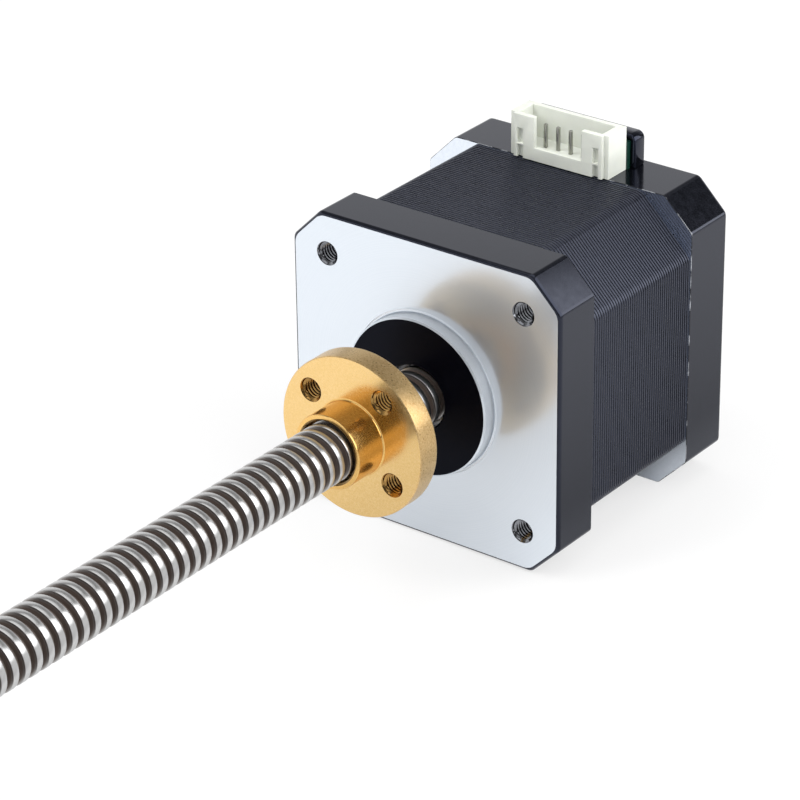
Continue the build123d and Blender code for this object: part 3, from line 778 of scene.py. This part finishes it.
def studioFloor():
    # a plain sweep: part of its white is its own light, so that it stays pale and keeps the shadow
    half = studio["floorSize"] / 2
    z = (float(rearLow[2]) - studio["floorGap"]) * mm
    mesh = bpy.data.meshes.new("floor")
    mesh.from_pydata([(-half, -half, z), (half, -half, z), (half, half, z), (-half, half, z)], [],
                     [(0, 1, 2, 3)])
    floor = bpy.data.objects.new("floor", mesh)
    scene.collection.objects.link(floor)
    material, tree, shader, surface = newMaterial("matt white paper",
                                                  {"Roughness": 0.9, "Specular IOR Level": 0.0})
    glow = addNode(tree, "ShaderNodeEmission", {"Strength": studio["glow"]})
    rays = addNode(tree, "ShaderNodeLightPath")
    # in reflections the sheet dims under the screw and to the motor's right
    place = addNode(tree, "ShaderNodeTexCoord")
    parts = addNode(tree, "ShaderNodeSeparateXYZ", links={0: (place, "Object")})
    across = addNode(tree, "ShaderNodeMapRange", {1: -studio["sheetReach"], 2: studio["sheetReach"]},
                     {0: (parts, "X")})
    dimmed = addNode(tree, "ShaderNodeValToRGB", {"stops": studio["sheetLevels"]}, {"Fac": (across, 0)})
    addNode(tree, "ShaderNodeMix", {"data_type": "RGBA", 6: toLinear(studio["floorHex"])},
            {0: (rays, "Is Glossy Ray"), 7: (dimmed, "Color")},
            [(2, glow, "Color"), (2, shader, "Base Color")])
    ownShare = addNode(tree, "ShaderNodeMath", {"operation": "MULTIPLY", 1: studio["ownLight"]},
                       {0: (rays, "Is Camera Ray")})
    # and it gives reflections no light of its own beneath the motor
    aside = addNode(tree, "ShaderNodeMath", {"operation": "ABSOLUTE"}, {0: (parts, "X")})
    beside = addNode(tree, "ShaderNodeMapRange", {1: studio["underX"][0], 2: studio["underX"][1]},
                     {0: (aside, 0)})
    before = addNode(tree, "ShaderNodeMapRange", {1: studio["underY"][0], 2: studio["underY"][1]},
                     {0: (parts, "Y")})
    clear = addNode(tree, "ShaderNodeMath", {"operation": "MAXIMUM"}, {0: (beside, 0), 1: (before, 0)})
    lit = addNode(tree, "ShaderNodeMath", {"operation": "MULTIPLY", 1: studio["glossyLight"]},
                  {0: (clear, 0)})
    glossyShare = addNode(tree, "ShaderNodeMath", {"operation": "MULTIPLY"},
                          {0: (lit, 0), 1: (rays, "Is Glossy Ray")})
    share = addNode(tree, "ShaderNodeMath", {"operation": "MAXIMUM"}, {0: (ownShare, 0), 1: (glossyShare, 0)})
    addNode(tree, "ShaderNodeMixShader", {}, {0: (share, 0), 1: (shader, "BSDF"), 2: (glow, "Emission")},
            [(0, surface, "Surface")])
    mesh.materials.append(material)


def studioWorld():
    # white to the camera, even fill for matt surfaces, and in reflections a white sweep with a dimmer
    # ceiling above it and a dark room on the right
    world = bpy.data.worlds.new("studio")
    scene.world = world
    world.use_nodes = True
    tree = world.node_tree
    tree.nodes.clear()
    place = addNode(tree, "ShaderNodeTexCoord")
    parts = addNode(tree, "ShaderNodeSeparateXYZ", links={0: (place, "Generated")})
    height = addNode(tree, "ShaderNodeVectorMath", {"operation": "DOT_PRODUCT", 1: studio["skyUp"]},
                     {0: (place, "Generated")})
    high = addNode(tree, "ShaderNodeValToRGB", {"stops": studio["skyLevels"]}, {"Fac": (height, "Value")})
    right = addNode(tree, "ShaderNodeMapRange",
                    {1: studio["rightFrom"], 2: studio["rightTo"], 3: 1.0, 4: studio["rightLevel"]},
                    {0: (parts, "X")})
    level = addNode(tree, "ShaderNodeMath", {"operation": "MULTIPLY"}, {0: (high, 0), 1: (right, 0)})
    rays = addNode(tree, "ShaderNodeLightPath")
    glossy = addNode(tree, "ShaderNodeMath", {"operation": "MAXIMUM"},
                     {0: (rays, "Is Glossy Ray"), 1: (rays, "Is Transmission Ray")})
    dim = addNode(tree, "ShaderNodeMix", {"data_type": "FLOAT", 2: studio["skyDiffuse"]},
                  {0: (glossy, 0), 3: (level, 0)})
    strength = addNode(tree, "ShaderNodeMix", {"data_type": "FLOAT", 3: 1.0},
                       {0: (rays, "Is Camera Ray"), 2: (dim, 0)})
    background = addNode(tree, "ShaderNodeBackground", {"Color": (1, 1, 1, 1)},
                         {"Strength": (strength, 0)})
    addNode(tree, "ShaderNodeOutputWorld", links={"Surface": (background, "Background")})


def softbox(name, place, target, width, height, watts, mirrored):
    # a rectangular lamp that faces its target; reflections show it only where mirrored is true
    light = bpy.data.lights.new(name, "AREA")
    light.shape, light.size, light.size_y, light.energy = "RECTANGLE", width, height, watts
    lamp = bpy.data.objects.new(name, light)
    scene.collection.objects.link(lamp)
    lamp.location = place
    lamp.rotation_mode = "QUATERNION"
    lamp.rotation_quaternion = (Vector(target) - Vector(place)).to_track_quat("-Z", "Y")
    lamp.visible_glossy = mirrored


def studioCamera():
    # the photo's viewpoint: looks along (azimuth, elevation), rolled a little, with the aim shifted
    shot = {"azimuth": 37.217, "elevation": 27.202, "roll": -0.708, "distance": 471.046,
            "aimRight": 3.161, "aimUp": 1.034, "focal": 3652.04, "picture": 800, "sensor": 36.0,
            "near": 0.01, "far": 20.0}
    a, e, roll = (math.radians(shot[k]) for k in ("azimuth", "elevation", "roll"))
    back = Vector((math.sin(a) * math.cos(e), -math.cos(a) * math.cos(e), math.sin(e)))
    level = (-back).cross(Vector((0, 0, 1))).normalized()
    upright = level.cross(-back)
    right = level * math.cos(roll) + upright * math.sin(roll)
    up = upright * math.cos(roll) - level * math.sin(roll)
    place = (back * shot["distance"] - right * shot["aimRight"] - up * shot["aimUp"]) * mm
    data = bpy.data.cameras.new("camera")
    data.sensor_width = shot["sensor"]
    data.lens = shot["focal"] / shot["picture"] * data.sensor_width
    data.clip_start, data.clip_end = shot["near"], shot["far"]
    camera = bpy.data.objects.new("camera", data)
    scene.collection.objects.link(camera)
    turn = Matrix((right, up, back)).transposed()
    camera.matrix_world = Matrix.Translation(place) @ turn.to_4x4()
    scene.camera = camera


studioCamera()
studioFloor()
studioWorld()
for lamp in studio["lamps"]:
    softbox(*lamp)
scene.view_settings.view_transform = "Standard"
print("studio set")
